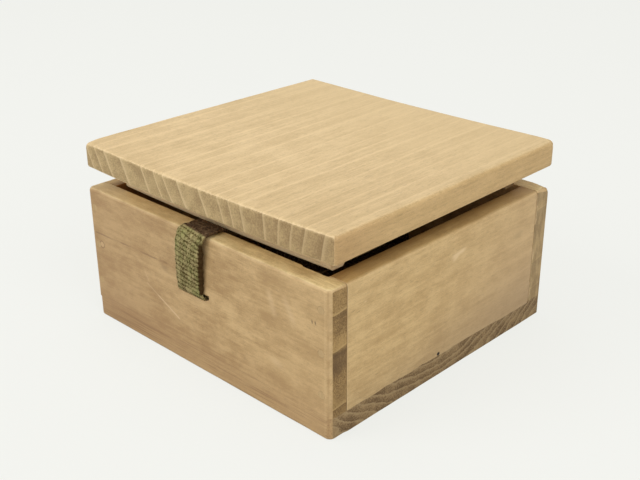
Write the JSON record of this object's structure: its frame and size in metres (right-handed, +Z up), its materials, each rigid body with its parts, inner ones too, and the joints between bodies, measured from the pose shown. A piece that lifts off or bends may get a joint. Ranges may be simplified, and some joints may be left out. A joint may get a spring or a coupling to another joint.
{
  "type": "incense box",
  "caption": "Small pegged paulownia box for an incense container, with a batten lid that lifts off and a flat woven tape through slots in its front and back walls.",
  "frame": {"origin": "middle of the box's underside, on the surface it stands on", "axes": "+Z up; +X to the right along the front, seen from the side that the tape's leaning fold is on; +Y from the front to the back"},
  "size_m": [0.1014, 0.099, 0.057],
  "materials": {
    "wall_wood": "planed, unfinished, softly worn",
    "bottom_wood": "planed, unfinished, dark end grain",
    "lid_wood": "planed, unfinished, pale",
    "peg_wood": "cut flush",
    "woven_tape": "coarse flat weave"
  },
  "bodies": {
    "box": {"back_wall": "wall_wood", "bottom_board": "bottom_wood", "corner_peg_back_left_1": "peg_wood", "corner_peg_back_left_2": "peg_wood", "corner_peg_back_left_3": "peg_wood", "corner_peg_back_right_1": "peg_wood", "corner_peg_back_right_2": "peg_wood", "corner_peg_back_right_3": "peg_wood", "corner_peg_front_left_1": "peg_wood", "corner_peg_front_left_2": "peg_wood", "corner_peg_front_left_3": "peg_wood", "corner_peg_front_right_1": "peg_wood", "corner_peg_front_right_2": "peg_wood", "corner_peg_front_right_3": "peg_wood", "floor_peg_back_left": "peg_wood", "floor_peg_back_right": "peg_wood", "floor_peg_front_left": "peg_wood", "floor_peg_front_right": "peg_wood", "floor_peg_left_aft": "peg_wood", "floor_peg_left_fore": "peg_wood", "floor_peg_right_aft": "peg_wood", "floor_peg_right_fore": "peg_wood", "front_wall": "wall_wood", "himo_back_coil": "woven_tape", "himo_band": "woven_tape", "himo_front_coil": "woven_tape", "left_wall": "wall_wood", "right_wall": "wall_wood"},
    "lid": {"back_batten": "lid_wood", "batten_peg_back_left": "peg_wood", "batten_peg_back_right": "peg_wood", "batten_peg_front_left": "peg_wood", "batten_peg_front_right": "peg_wood", "front_batten": "lid_wood", "lid_board": "lid_wood"}
  },
  "joints": [
    {"name": "lid_lift", "type": "slide", "parent": "box", "child": "lid", "axis": [0, 0, 1], "range_m": [0, 0.06]}
  ]
}
